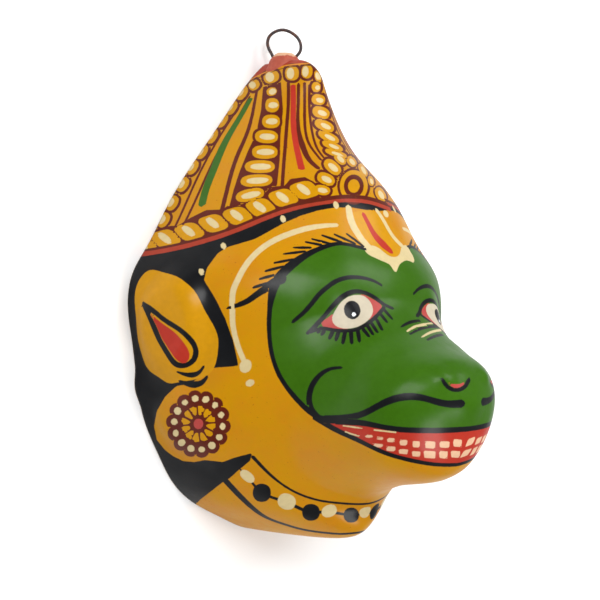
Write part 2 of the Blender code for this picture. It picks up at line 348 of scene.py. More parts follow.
def on_skin(spots):
    """Where the lines of sight through pixels meet the skin, or pass nearest to it."""
    found = []
    for across, down in np.asarray(spots, dtype=float) - image_size / 2:
        ray = Vector(sight * lens_pixels + rightward * across - upward * down).normalized()
        place = skin_tree.ray_cast(Vector(eye), ray)[0]
        if place is None:
            place = skin_tree.find_nearest(Vector(eye) + subject_distance * ray)[0]
            place = Vector(eye) + ray * (place - Vector(eye)).dot(ray)
        found.append(place)
    return np.array(found)


class Coat:
    """What one coat holds at each corner of the skin's faces, in millimetres: how far to the side
    of a stroke's middle it is, and the half width of the stroke there. Where that half width is
    the greater, the paint shows. Each face keeps the stroke that covers it best."""

    def __init__(self):
        faces = (skin_rows - 3, skin_columns - 1)
        self.side = np.zeros((*faces, 4))
        self.reach = np.full((*faces, 4), -2.0)     # no paint shows
        self.paint = np.zeros(faces)
        self.best = np.full(faces, -1.6)            # a stroke further off isn't noted

    def lay(self, part, side, reach, paint, mirrored, shift=(0, 0)):
        """Adds a stroke in one part of the grid, and its mirror image on the other side, which
        may lie some rows lower and some columns further out."""
        rows, columns = part
        sides, reaches = corners(side * 1000), corners(np.clip(reach * 1000, -3, 3))
        better = reaches.mean(axis=-1) - np.abs(sides.mean(axis=-1))
        window = slice(rows.start, rows.stop - 1), slice(columns.start, columns.stop - 1)
        change = better > self.best[window]
        self.side[window][change] = sides[change]
        self.reach[window][change] = reaches[change]
        self.paint[window][change] = paint_names.index(paint)
        self.best[window][change] = better[change]
        if mirrored:
            last = skin_columns - 1
            down = slice(rows.start - shift[0], rows.stop - shift[0])
            across = slice(last - columns.stop + 1 + shift[1], last - columns.start + 1 + shift[1])
            self.lay((down, across), side[:, ::-1], reach[:, ::-1], paint, False)


coats = [Coat() for k in range(7)]
hair_coat, face_coat, ground_coat, shape_coat, line_coat, fine_coat, light_coat = coats


def part_of(inside, mirrored):
    """The rows and columns of the grid that hold every marked vertex, with one more around, up to
    the middle column if a mirror image follows."""
    rows, columns = inside.any(axis=1).nonzero()[0], inside.any(axis=0).nonzero()[0]
    last = skin_columns // 2 + 1 if mirrored else skin_columns
    return (slice(max(rows[0] - 1, 0), min(rows[-1] + 2, len(inside))),
            slice(max(columns[0] - 1, 0), min(columns[-1] + 2, last)))


def beside(route, points, normals):
    """For each point the nearest piece of a route: the distance to its side, signed by the side
    on which it lies, how far it is past the route's end, and the share of the route behind it."""
    span = np.diff(route, axis=0)
    length = np.linalg.norm(span, axis=1) + 1e-9
    offset = points[..., None, :] - route[:-1]
    along = (offset * span).sum(axis=-1) / length ** 2
    on = np.clip(along, 0, 1)
    gap = offset - on[..., None] * span
    far = np.linalg.norm(gap, axis=-1)
    nearest = far.argmin(axis=-1)[..., None]
    gap = np.take_along_axis(gap, nearest[..., None], axis=-2)[..., 0, :]
    far, along, on = (np.take_along_axis(v, nearest, axis=-1)[..., 0] for v in (far, along, on))
    nearest = nearest[..., 0]
    past = np.where(nearest == 0, np.clip(-along, 0, None), 0)
    past = past + np.where(nearest == len(span) - 1, np.clip(along - 1, 0, None), 0)
    past = past * length[nearest]
    sign = np.sign((np.cross(span[nearest], gap) * normals).sum(axis=-1))
    return sign * np.sqrt(np.clip(far ** 2 - past ** 2, 0, None)), past, (nearest + on) / len(span)


stroke_step = 2.2         # pixels between points, in a stroke
curve_step = 3            # in a patch's curved outline
side_step = 4             # in a straight one
stroke_edge = 0.003       # metres beside a stroke that may be noted
patch_edge = 6            # pixels beside a patch that may be noted


def stroke(coat, paint, spots, width, mirrored=True, blunt=False, shift=(0, 0)):
    """A brush stroke through pixels of the photograph.

    Its width is in millimetres: one number, or several at even distances along it. A round end
    is a parabola, as deep as half the width, and a blunt one is square.
    """
    route = on_skin(along_curve(spots, max(3, int(chords(spots).sum() / stroke_step))))
    width = np.atleast_1d(width) / 1000
    margin = width.max() / 2 + stroke_edge
    inside = np.all((skin_grid > route.min(axis=0) - margin) & (skin_grid < route.max(axis=0) + margin),
                    axis=-1) & (near_side | (not mirrored))
    if not inside.any():
        return
    part = part_of(inside & (seen | near_side), mirrored)
    side, past, share = beside(route, skin_grid[part], skin_normals[part])
    half = np.interp(share, np.linspace(0, 1, len(width)), width) / 2
    reach = half - (4 * past if blunt else past * past / np.maximum(half, 0.0002))
    coat.lay(part, side, reach, paint, mirrored, shift)


def patch(coat, paint, spots, mirrored=True, curved=True, shift=(0, 0)):
    """A filled patch inside a closed outline of pixels.

    A vertex is inside where a line to its left crosses the outline an odd number of times. Its
    reach is the distance to the outline, taken as negative outside.
    """
    spots = np.asarray(spots, dtype=float)
    loop = np.concatenate([spots, spots[:1]])
    size = chords(loop)
    if curved:
        loop = np.concatenate([spots[-2:], spots, spots[:3]])
        knots = running(chords(loop))
        count = max(10, int(size.sum() / curve_step))
        loop = spline(knots, loop, np.linspace(knots[2], knots[-3], count))
    else:
        steps = np.maximum((size / side_step).astype(int), 1)
        loop = np.concatenate([np.linspace(a, b, n, endpoint=False) for a, b, n
                               in zip(loop[:-1], loop[1:], steps)] + [loop[-1:]])
    inside = np.all((skin_pixels > loop.min(axis=0) - patch_edge)
                    & (skin_pixels < loop.max(axis=0) + patch_edge), axis=-1)
    inside &= near_side if mirrored else (seen | near_side)
    if not inside.any():
        return
    part = part_of(inside, mirrored)
    x, y = skin_pixels[part][..., None, :].transpose(3, 0, 1, 2)
    (x0, y0), (x1, y1) = loop[:-1].T, loop[1:].T
    crosses = ((y0 > y) != (y1 > y)) & (x < x0 + (y - y0) * (x1 - x0) / (y1 - y0 + 1e-12))
    odd = crosses.sum(axis=-1) % 2 == 1
    side, past, share = beside(on_skin(loop), skin_grid[part], skin_normals[part])
    far = np.hypot(side, past)
    odd &= seen[part] | near_side[part]
    coat.lay(part, 0 * far, np.where(odd, far, -far), paint, mirrored, shift)


def oval(middle, radii, tilt=0.0, lean=0.0, fullness=1.0):
    """Pixels round an oval: the radii times the cosine and the sine to the power of the fullness,
    where less than 1 is squarer, leant sideways and turned by a tilt in degrees, clockwise."""
    way = np.linspace(0, 2 * np.pi, 16, endpoint=False)
    across = radii[0] * np.sign(np.cos(way)) * np.abs(np.cos(way)) ** fullness
    down = radii[1] * np.sign(np.sin(way)) * np.abs(np.sin(way)) ** fullness
    across = across + lean * down
    c, s = np.cos(np.radians(tilt)), np.sin(np.radians(tilt))
    return np.stack([middle[0] + across * c - down * s, middle[1] + across * s + down * c], axis=-1)


def black_line(spots, width, **how):
    """A black line in the coat of lines."""
    stroke(line_coat, "black", spots, width, **how)


def spot(coat, paint, middle, radii, tilt=0.0, lean=0.0, fullness=1.0, **how):
    """A filled oval of pixels."""
    patch(coat, paint, oval(middle, np.broadcast_to(radii, 2), tilt, lean, fullness), **how)


# Hair: black behind the ears, in a band over the brow and down to the neck.
base_line = [
    (112, 258), (145, 253), (166, 249.5), (205, 240), (240, 228), (280, 212), (320, 202.5), (345, 199.6),
    (357, 199.8), (370, 201.6), (380, 204.6), (390, 208.6)]
brow_edge = [
    (372, 211), (352, 207.5), (335, 207.5), (318, 210.5), (300, 216), (282, 224), (268, 232), (255, 239),
    (240, 243.5), (228, 247), (218, 253), (207, 268), (204, 280), (215, 298), (225, 318), (233, 340),
    (238, 363)]
behind_lobe = [
    (238, 366), (212, 368), (190, 384), (176.5, 386), (165, 397), (157, 411), (154, 426), (157, 440),
    (165, 450), (173, 456), (183, 461), (194, 462), (205, 460), (223, 462), (233, 458), (252, 453),
    (250, 461), (240, 469), (230, 478), (223, 482), (201, 499), (180, 520)]
patch(hair_coat, "black", base_line[:-1] + brow_edge + behind_lobe + [
    (140, 500), (105, 400), (100, 300)], curved=False)

# Crown: a red tip, a gold line under it, beads in rows between maroon and gold lines, and stripes.
tip_edge = [(249.4, 80.3), (264.8, 72.5), (281.3, 66.5), (304.5, 63.6), (318, 62)]
patch(hair_coat, "brick", [(225, 84)] + tip_edge + [(318, 40), (225, 40)], mirrored=False, curved=False)
stroke(line_coat, "gold", [(245, 83)] + tip_edge, 1.2)
stroke(line_coat, "brown", [
    (245, 86), (250, 82.5), (265, 74.8), (281.5, 68.8), (304, 65.6), (318, 65)], 0.7)


def bead(middle, radii, tilt, light, light_radii, light_tilt=None, rim=2.6, lean=0.0, fullness=0.8,
         **how):
    """A painted bead: a maroon outline, a yellow body and a cream light beside its middle."""
    if rim:
        spot(ground_coat, "maroon", middle, np.add(radii, rim), tilt, lean, fullness, **how)
    spot(shape_coat, "yellow", middle, radii, tilt, lean, fullness, **how)
    light_tilt = tilt if light_tilt is None else light_tilt
    spot(fine_coat, "cream", np.add(middle, light), light_radii, light_tilt, **how)


for middle, radii, tilt, light_radii in [
        ((254, 85), (6, 5), -40, (3.4, 4)), ((271.4, 77), (8, 6), -20, (4.4, 5.2)),
        ((292, 73.3), (7, 7.3), 0, (3.8, 6)), ((307, 71.6), (5.6, 7), 5, (3.2, 5.8)),
        ((319, 76), (4.5, 6.6), -15, (2, 4))]:
    bead(middle, radii, tilt, (-1.6, 0), light_radii)
for middle in [
        (241.5, 92.5), (231, 107.3), (221.6, 120), (211.5, 136), (201.5, 151.5), (192, 167), (182.5, 184.4),
        (172, 203), (163.5, 220)]:
    bead(middle, (8.2, 5.4), -57, (-1.4, -0.4), (5, 3))
for middle, radii, tilt in [
        ((271.8, 91.5), (5.4, 4.2), -12), ((272.2, 105.2), (7, 7.2), 0), ((271, 121.4), (9, 6.8), 0),
        ((266.4, 136.6), (11.6, 6.6), 3), ((264.8, 152), (13, 6.8), 0), ((259.8, 166.6), (15.2, 6.4), 0),
        ((256.5, 180.6), (16.2, 6.2), -3), ((250, 195), (14.6, 6.2), -12)]:
    bead(middle, radii, tilt, (0.8, 0), (radii[0] * 0.74, 3.1))
patch(ground_coat, "maroon", [
    (263, 87), (281, 82), (283, 110), (280.5, 135), (279.7, 160), (277, 186), (268, 190), (245, 204),
    (229, 208), (233, 192), (239, 173), (247, 153), (256, 134), (261, 110)], curved=False)
for spots, width in [
        ([(245, 98), (227, 125), (209, 155), (194, 185), (182, 212), (174, 229)], 1.4),
        ([(250, 96), (232, 128), (215, 158), (201, 188), (189, 214), (182, 228)], 1.4),
        ([(257, 90), (254.8, 101.5), (251.5, 118), (246.5, 134.6), (238.2, 153.7), (231, 174.4),
          (226.5, 192), (221.7, 211)], (1.6, 2.2, 2.2)),
        ([(288.4, 82), (288, 109.8), (286.7, 126.3), (285.5, 143), (283.8, 163.7), (282.2, 187)], 1.7),
        ([(298.5, 84), (298, 109.8), (299, 134.6), (303, 147), (309, 159.5), (318, 168)],
          (1.6, 1.6, 3.2, 2.6)),
        ([(304.6, 83), (304.6, 109.8), (305.4, 130.5), (308.7, 143), (314.5, 152), (321, 160)], 1.5),
        ([(309.5, 84.9), (309.5, 109.8), (311.2, 126.3), (313.7, 138.8), (317, 148), (324, 158)], 1.4)]:
    stroke(shape_coat, "maroon", spots, width)
stroke(fine_coat, "leaf", [
    (250.7, 98.3), (242.4, 113), (230.8, 132), (221.6, 149.5), (213.8, 169), (205, 192), (201.7, 206)],
    (3, 4.2, 4), blunt=True)
stroke(fine_coat, "red", [
    (293, 84.9), (293.4, 101.5), (293.2, 118), (294.4, 134.6), (297.6, 152), (301.8, 169.5)],
    (2.7, 2.7, 2.9, 3.4), blunt=True)
for middle, radii, tilt in [
        ((316.2, 87), (4.6, 5.2), 0), ((318.4, 99.6), (7, 5.4), 10), ((321, 112.5), (9, 5.8), 20),
        ((324.4, 125.6), (10.5, 5.2), 25), ((328.6, 137), (11.5, 4.6), 27), ((332.6, 146), (11.5, 3.6), 22),
        ((336, 153.4), (12, 3.2), 18)]:
    bead(middle, radii, tilt, (1.4, 0.6), np.multiply(radii, (0.6, 0.44)), mirrored=False)

# The rope of beads round the crown's foot, with the red line under it.
patch(ground_coat, "maroon", [
    (120, 237), (140, 232), (155, 229), (170, 226), (178, 225.5), (190, 218), (206, 210), (222, 209.5),
    (229, 205), (243, 204), (248, 200), (265, 193), (270, 187), (285, 185.5), (290, 179), (305, 177),
    (314, 182), (320, 186)] + base_line[6::-1], curved=False)
for middle in [
        (142, 243.8), (165.6, 238.6), (189.4, 231.6), (213.4, 223.4), (237.6, 215.8), (260.6, 207.4),
        (283.4, 197.8), (304.6, 190)]:
    bead(middle, (11.9, 9), -17, (-1, -0.6), (8.6, 3.5), 37, rim=0, lean=0.5, fullness=0.55)
for middle, radii, tilt, rim in [
        ((322, 190), (8.4, 5), 10, 2.6), ((326, 179), (9.4, 5.8), 24, 2.6),
        ((332.5, 167), (10, 5.8), 40, 2.6), ((340, 158.6), (7.6, 4.4), 45, 2.2),
        ((351.6, 161.4), (6.2, 4.2), 50, 1.8), ((363, 170), (7.6, 3.4), 62, 1.4),
        ((371, 181), (5.4, 3), 75, 1.4), ((380.6, 194.4), (8, 4.6), 60, 1.6)]:
    bead(middle, radii, tilt, (0.6, 0.4), np.multiply(radii, (0.66, 0.5)), rim=rim, mirrored=False)
for paint, radii, coat in [
        ("maroon", (16.6, 18.6), ground_coat), ("yellow", (14, 16), shape_coat),
        ("maroon", (10, 11.6), line_coat), ("yellow", (6, 7), fine_coat)]:
    spot(coat, paint, (353.8, 186), radii, 0, mirrored=False)
for coat, paint, lower, width, mirror_width in [
        (line_coat, "maroon", -2.6, (1.8, 1.8, 1.8, 2.4, 3), (1.8, 1.8, 1.8, 2.2)),
        (fine_coat, "brick", 0.8, (2.9, 2.8, 2.2, 1.5, 1.8, 2.4), (2.9, 2.8, 2.2, 1.6))]:
    line = np.array(base_line) + (0, lower)
    stroke(coat, paint, line, width, mirrored=False)
    stroke(coat, paint, line[:8], mirror_width)

# Face: green from the brow to the lip, inside a black outline with a tail towards the temple.
lip_top = [
    (320, 419), (341, 421.4), (360.6, 422.8), (378, 426), (397.3, 429.2), (419, 430.4), (440.5, 430.4),
    (462, 429.4), (486, 427.2), (500, 426)]
face_edge = [
    (366, 249), (357, 246.5), (350.7, 245), (339, 243.6), (328, 245.7), (316.4, 250), (305, 255.7),
    (296.4, 261.4), (288, 268), (280.7, 275.5), (275, 284), (271.6, 296), (269.6, 310.7), (269, 327),
    (270, 343), (274, 362), (282, 380), (293, 395), (306, 408.5), (322, 420)]
patch(face_coat, "green", face_edge + lip_top[1:-1] + [
    (505, 424), (500, 390), (445, 332), (415, 305), (410, 275), (404, 258), (380, 252)], curved=False)
black_line(face_edge, (2, 1.9, 2.6, 4.2, 4.6, 2.2, 2, 2, 2.1, 2.5, 3.2))
black_line([
    (282, 279), (272, 283.6), (266.4, 288), (258, 293.6), (248, 300.7), (238, 305), (226.4, 308.6)],
    (4.6, 3.6, 2.8, 2.4, 1.2))
for hair in [
        (252, 288, 268, 283), (258.6, 279.3, 274.3, 275), (264.3, 271.4, 283.6, 266.4),
        (273.6, 263, 293.6, 259.3), (283.6, 254, 305, 251.4), (293.6, 247.6, 310.7, 247.6),
        (305.7, 242, 325, 245.7), (312, 239, 330.7, 243.8), (322, 235.3, 342, 242.3),
        (334.3, 234.3, 355, 243.6), (346.4, 233.6, 363.6, 246.4)]:
    stroke(fine_coat, "black", np.reshape(hair, (2, 2)), (1, 1.5, 1.3), mirrored=hair[0] < 330)

# Ears: yellow with a red drop in a black outline, and two lines where the disc hangs from it.
patch(face_coat, "yellow", [
    (150, 270), (162, 272), (175.5, 276), (187, 283.5), (196, 293), (203, 307), (212, 323), (218, 338),
    (218, 350), (216, 362), (212, 371), (177, 382.5), (170, 383.5), (160, 378), (149, 370), (142, 355),
    (138, 339), (136, 317), (136, 288), (142, 276)])
drop = [
    (142.5, 303), (152, 309), (163, 318), (179, 328.5), (190, 338), (196, 348), (196, 357), (187, 365.5),
    (177, 366), (168, 356), (158, 339), (152, 325)]
patch(shape_coat, "black", drop)
stroke(ground_coat, "black", drop + drop[:1], 1.8)
patch(line_coat, "yellow", [
    (149, 311), (160, 319.5), (178, 331.5), (188, 341), (193, 350), (192, 357), (186, 362.5), (179, 362.5),
    (171, 354), (161, 337), (155, 323)])
patch(fine_coat, "red", [
    (149, 312), (158, 320), (173, 331), (184, 343), (189.5, 354), (188.5, 360), (184, 363.5), (178, 361),
    (170, 351), (161, 336.5), (155, 323)])
black_line([(176.5, 371.5), (189, 375), (197.5, 373.5), (204, 366)], (1, 2.6, 1))
black_line([(179, 381), (191, 384.5), (202, 382.5), (207.5, 376)], (1.2, 3.2, 1.2))

# Ear discs: a maroon rosette with cream dots, yellow petals and a red middle.
rosette = np.array([198.4, 424.0])


def around(count, radius, start=0.0):
    """Pixels at even angles on the rosette's circle, which shows a little narrower than it is."""
    way = np.radians(start) + np.linspace(0, 2 * np.pi, count, endpoint=False)
    return rosette + radius * np.stack([0.97 * np.cos(way), 1.03 * np.sin(way)], axis=-1)


for place in around(14, 25.6, 5):
    spot(ground_coat, "maroon", place, 7.8)
spot(ground_coat, "maroon", rosette, (27, 28))
for number, place in enumerate(around(14, 25, 5)):
    spot(shape_coat, "cream", place, (3.1 + 0.5 * (number % 3), 3.9 - 0.4 * (number % 2)), 30 * number)
for place, outer_place in zip(around(12, 8, 10), around(12, 17, 10)):
    stroke(shape_coat, "yellow", [place, outer_place], (0.8, 2.6, 3.8), blunt=True)
spot(line_coat, "maroon", rosette, (7.2, 7.8))
spot(fine_coat, "coral", rosette, (5, 5.6))

# Necklace: a string with black and cream beads between two lines round the neck.
neck_top = [
    (253, 457), (268.4, 473), (281.7, 484), (299.3, 494), (321.4, 500.8), (343.5, 503.4), (363.4, 504),
    (379, 500.8), (391, 492)]
neck_foot = [
    (224, 479), (237.5, 493.5), (250.7, 506.3), (264, 516.2), (281.7, 523.4), (303.8, 529.7),
    (321.4, 532.4), (343.5, 533.9), (368, 531)]
black_line(neck_top, (2, 1.3, 1.3, 1.3, 1.1))
black_line(neck_foot, (3.4, 3.4, 3.2, 2.6, 2, 1.6))
black_line([
    (240, 469), (247, 476.5), (262, 492.6), (286, 502), (311, 512), (329, 512), (350.5, 515), (366, 513),
    (378, 510)], (0.9, 1.5, 2, 1.8, 1.2, 1.2))
for paint, middle, radii, tilt in [
        ("cream", (247.2, 476.3), (8.6, 4.8), 40), ("black", (261.8, 492.8), (9.2, 9.2), 0),
        ("cream", (286.7, 501.6), (9.2, 8), 20), ("black", (311, 512.3), (9, 8.5), 0),
        ("cream", (329.2, 510.9), (8, 6), -24), ("black", (351.3, 515.1), (7.8, 7.6), 0),
        ("cream", (365.2, 512.6), (6.2, 5.2), -20), ("black", (376.4, 511), (3, 4), 0)]:
    spot(fine_coat, paint, middle, radii, tilt, fullness=0.9)

# Brow ornament: a cream arc that ends in a blob, cream dots and the forehead mark.
stroke(line_coat, "cream", [
    (337, 225), (318, 226.4), (296.4, 231.4), (279.3, 238), (266.4, 245), (255, 254.3), (245, 266.4),
    (238.6, 278), (233.6, 289.3), (232.2, 300), (232.4, 311), (232.6, 322), (235, 336), (239, 349),
    (244, 361)], (1.8, 2.7, 2.9, 2.9, 2.7, 2.6, 2.4, 2.4))
spot(fine_coat, "cream", (245.5, 366), (6, 7.4), 20)
spot(fine_coat, "cream", (250, 383), (5, 3.6), -25)
for middle in [(336, 205), (283, 219), (223.5, 246), (201.5, 272)]:
    spot(light_coat, "cream", middle, (2.8, 4.2), -24)
spot(light_coat, "cream", (385.8, 213.8), (2.4, 4), -30, mirrored=False)
patch(ground_coat, "yellow", [
    (352, 213), (360, 211), (374, 211), (380, 217), (388, 230), (398, 245), (403, 251), (396, 259),
    (384, 257), (372, 250), (360, 236)], mirrored=False)
stroke(line_coat, "cream", [
    (348.6, 207.4), (349.6, 214), (352.2, 223.3), (357.8, 233.5), (364.4, 242.4), (371, 249)],
    (3.2, 3.8, 3.8, 3.6, 3.6), mirrored=False)
stroke(line_coat, "cream", [
    (376.7, 210.2), (382.2, 218), (387.8, 228), (394.4, 238), (402.2, 246)], (2.4, 2.6, 2.8, 3),
    mirrored=False)
patch(line_coat, "cream", [
    (363.5, 246), (367.8, 254), (374.4, 257.4), (379, 259.6), (385.6, 262.4), (391, 266), (395.6, 273),
    (398.4, 266.6), (403.3, 261.4), (408, 260.4), (414, 262.6), (413.3, 256.7), (410, 251), (406, 245),
    (402, 246), (400.4, 252.4), (396.7, 256.8), (391.6, 256.8), (383.3, 251.6), (374.4, 246)],
    mirrored=False)
stroke(fine_coat, "red", [
    (363.6, 214.4), (368.8, 224.4), (374.4, 234.4), (382.2, 243.4), (390.6, 251)],
    (2.4, 2.6, 3.2, 4.2, 5, 3.6), mirrored=False)

# Eyes: a cream white with red corners, a black ring of lids, the iris and the lashes. The far eye
# sits a little lower.
lower = (3, -1)
patch(shape_coat, "ivory", [
    (332, 319), (335.6, 310), (342.2, 301), (349, 296.5), (357.8, 294.8), (364.6, 296.4), (370, 301.4),
    (373, 309), (371.4, 316), (365.4, 322.6), (357.8, 326.8), (349, 328.6), (341, 328), (333.4, 323.6)],
    shift=lower)
patch(ground_coat, "coral", [
    (321, 323), (326.7, 318.6), (333, 314), (338, 320), (350, 328.5), (336.7, 329), (328.9, 328.4),
    (323, 326.6)], shift=lower)
patch(ground_coat, "coral", [
    (360, 294.5), (369, 297), (375.6, 300.6), (381.4, 305), (380.8, 311), (375.6, 315), (369, 320),
    (364, 312), (362, 302)], shift=lower)
spot(fine_coat, "black", (352.2, 310), (8.3, 9.5), -12, shift=lower)
spot(light_coat, "white", (353.9, 314.4), (2.2, 2.3), shift=lower)
black_line([
    (307.4, 333.2), (316.7, 324.6), (324.4, 316), (331, 308), (341, 298), (349, 293), (356.7, 291.4),
    (366.7, 293.4), (376.7, 299), (383.3, 304), (393, 308.4)], (1.6, 2.2, 1.9, 2.3, 2.5, 2.1, 1.9, 2, 1.8),
    shift=lower)
black_line([
    (310, 331.6), (322.2, 328.4), (332.2, 329.8), (344.4, 330.8), (355.6, 329.6), (365.6, 324.8),
    (373.3, 319), (380, 312.4), (384.6, 307)], (2, 1.7, 1.8, 1.8, 1.8), shift=lower)
for lash in [
        (320, 329, 318, 332.4), (324, 331, 321.7, 334.6), (332.8, 331.5, 329.4, 338.4),
        (338.3, 332, 336, 340), (345, 332, 342.8, 343.4), (351, 331.5, 351.7, 343.4),
        (357.8, 330.5, 359.4, 341.6), (363, 329, 369, 336.4), (367, 325, 373, 334.6),
        (371.4, 323, 377.4, 332.4), (376.4, 319, 382.2, 330), (380.6, 314, 387, 322.2),
        (384, 309.5, 392.2, 318.9)]:
    stroke(fine_coat, "black", np.reshape(lash, (2, 2)), (1.9, 1.9, 1.5), mirrored=lash[0] < 350,
           shift=lower)
black_line([
    (292.5, 322), (301, 315), (310.4, 305.2), (318, 295.6), (327.9, 286.6), (338.6, 280), (350.7, 277.2),
    (363.6, 278), (374, 281), (382, 285.5)], (1.6, 2.1, 2.2, 2.2, 2.1, 1.8, 1.2), shift=lower)

# Nose: lines across the bridge, and each nostril a black crescent over coral. The far nostril
# sits further out.
nostril_gap = (0, 12)
for paint, spots, width in [
        ("black", [(401, 327), (410, 322.3), (420, 320.7)], 1.8),
        ("cream", [(406.7, 331.7), (415, 326.7), (424, 324.6), (432.6, 323.6)], 1.5),
        ("black", [(409.3, 334.6), (421.7, 328.4), (429, 326.8), (437.6, 326.6)], 1.8),
        ("cream", [(421.7, 337.3), (431.7, 332), (441, 330)], 1.4),
        ("black", [(426.7, 340.4), (434, 336.6), (442.7, 334.6)], 1.8)]:
    stroke(fine_coat, paint, spots, (0.6 * width, width, width), mirrored=False)
patch(shape_coat, "coral", [
    (446.5, 381.5), (451, 386.5), (456.5, 388.6), (462, 386.5), (466, 381.5), (461, 383.6), (456, 384.2),
    (451, 383.6)], shift=nostril_gap)
patch(line_coat, "black", [
    (439.5, 376.5), (442, 383), (447.4, 389.4), (456, 392.2), (465, 389.2), (469.6, 383), (471, 376.5),
    (466.5, 379.5), (464.8, 384), (461, 386.8), (456, 388.2), (451.5, 386.8), (447.6, 384), (444.6, 379.5)],
    shift=nostril_gap)

# Cheeks and lips: the curl behind the mouth, the line over it, and red lips with two rows of teeth.
black_line([
    (341.7, 367.6), (329, 369.4), (318.6, 376.4), (311, 388.3), (309.3, 401.7), (312.6, 411), (319, 418)],
    (1.2, 2, 2.6, 2.8, 3))
black_line([
    (325, 419), (337, 418.8), (350, 417.4), (365, 412.8), (378, 406), (393, 399.4), (408, 396.6),
    (423.2, 398), (436.2, 401.6), (449.2, 404), (462.1, 403.6)],
    (3.6, 3.4, 2.8, 2.8, 3.2, 3.2, 2.8, 3, 3.8))
lip_foot = [
    (314, 416.6), (324, 423), (339, 431.4), (356.3, 439.4), (375.7, 449), (393, 455.7), (410.3, 460.2),
    (432, 464.1), (449.2, 465), (468.6, 462.4), (482, 455)]
patch(ground_coat, "red", lip_top + [(500, 440)] + lip_foot[:1:-1], curved=False)
black_line(lip_top, (3.6, 3, 2.4, 2.6, 2.6, 2.6, 2.4))
black_line(lip_foot, (3, 2.8, 2.6, 2.4, 2.2, 2, 2))
tooth_edge = 0.3          # pixels that a brush adds all round
for middle, radii in [
        ((368.6, 436.2), (4.2, 1.3)), ((380, 438.2), (3.4, 1.4)), ((390.8, 440), (3.7, 1.9)),
        ((403.4, 442.5), (3.7, 2.7)), ((416.1, 444.2), (3.5, 3)), ((430.2, 444.7), (5, 3.4)),
        ((444.4, 444.4), (4.8, 3.1)), ((457.4, 443), (4.2, 3.6)), ((377.9, 445.4), (5, 1.6)),
        ((390.8, 448.6), (4.4, 2.2)), ((403.4, 451.4), (4.4, 2.2)), ((416.1, 453.8), (4, 2.5)),
        ((429.6, 454.4), (5.6, 3.4)), ((443.3, 454.6), (4, 3.5)), ((455.4, 454.2), (4.4, 3.2))]:
    across, down = np.array(radii) + tooth_edge
    patch(shape_coat, "tooth", np.array(middle) + [
        (-across, -down), (across, -down + 0.6), (across - 0.4, down + 0.4), (0.6 - across, down - 0.4)],
        curved=False)
stroke(fine_coat, "cream", [(374, 430), (396, 432.4)], 0.7)
stroke(fine_coat, "cream", [(341, 425.4), (362, 428.2)], 0.7)
stroke(fine_coat, "cream", [(345, 431.6), (352, 434.2), (359.6, 436)], 0.8)

# Each coat goes on the corners of the skin's faces. The ends and the paper hold none.
for number, coat in enumerate(coats):
    held = np.stack(np.broadcast_arrays(coat.side, coat.reach, coat.paint[..., None]), axis=-1)
    values = np.tile([0.0, -3.0, 0.0], (len(mesh.loops), 1))
    values[:held.size // 3] = held.reshape(-1, 3)
    attribute = mesh.attributes.new(f"coat_{number}", "FLOAT_VECTOR", "CORNER")
    attribute.data.foreach_set("vector", values.ravel())


def sum_with(operation, reflected=False):
    """An operator's method, which adds a Math node for two values, swapped if reflected."""
    def method(self, other):
        return self.math(operation, *((other, self) if reflected else (self, other)))
    return method


class Amount:
    """A number on a shader socket. Each sum with it adds one Math node."""
    __add__, __radd__ = sum_with("ADD"), sum_with("ADD", True)
    __sub__, __rsub__ = sum_with("SUBTRACT"), sum_with("SUBTRACT", True)
    __mul__, __rmul__ = sum_with("MULTIPLY"), sum_with("MULTIPLY", True)
    __truediv__, __rtruediv__ = sum_with("DIVIDE"), sum_with("DIVIDE", True)

    def __init__(self, finish, socket):
        self.finish = finish
        self.socket = socket

    def math(self, operation, *values, clamped=False):
        made = self.finish.node("Math", {"operation": operation, "use_clamp": clamped},
                                dict(enumerate(values)))
        return Amount(self.finish, made.outputs[0])

    def __abs__(self):
        return self.math("ABSOLUTE", self)

    def clamp(self):
        return self.math("ADD", self, 0.0, clamped=True)


class Finish:
    """A material whose nodes are added one by one, with its surface shader ready."""

    def __init__(self, name, **constants):
        self.material = bpy.data.materials.new(name)
        self.material.use_nodes = True
        self.tree = self.material.node_tree
        self.surface = self.tree.nodes["Principled BSDF"]
        self.where = self.node("TexCoord").outputs["Object"]
        self.show(**constants)

    def node(self, kind, settings=None, inputs=None):
        """A shader node of one type: its settings first, then its sockets' values or links."""
        made = self.tree.nodes.new("ShaderNode" + kind)
        for name, value in (settings or {}).items():
            if name == "stops":
                made.color_ramp.interpolation = "CONSTANT"
                elements = made.color_ramp.elements
                elements.remove(elements[1])
                elements[0].color = value[0][1]
                for place, colour in value[1:]:
                    elements.new(place).color = colour
            else:
                setattr(made, name, value)
        for name, value in (inputs or {}).items():
            self.feed(made.inputs[name], value)
        return made

    def feed(self, socket, value):
        """Links a socket to an output, or sets its own value."""
        value = value.socket if isinstance(value, Amount) else value
        if isinstance(value, bpy.types.NodeSocket):
            self.tree.links.new(value, socket)
        else:
            socket.default_value = value

    def show(self, **values):
        """Gives the surface shader's own sockets their values or links."""
        for name, value in values.items():
            self.feed(self.surface.inputs[name.replace("_", " ")], value)

    def bump(self, height, distance, strength):
        """Gives the surface small heights."""
        sockets = {"Height": height, "Distance": distance, "Strength": strength}
        self.show(Normal=self.node("Bump", {}, sockets).outputs[0])

    def noise(self, scale, detail=2.0, roughness=0.5):
        """Noise between 0 and 1, whose grains are 1 / scale metres."""
        sockets = {"Vector": self.where, "Scale": scale, "Detail": detail, "Roughness": roughness}
        return Amount(self, self.node("TexNoise", {}, sockets).outputs["Fac"])

    def mix(self, share, one, other, blend="MIX"):
        """Colour between two: the first where the share is 0, the second where it is 1."""
        made = self.node("Mix", {"data_type": "RGBA", "blend_type": blend}, {0: share, 6: one, 7: other})
        return made.outputs[2]


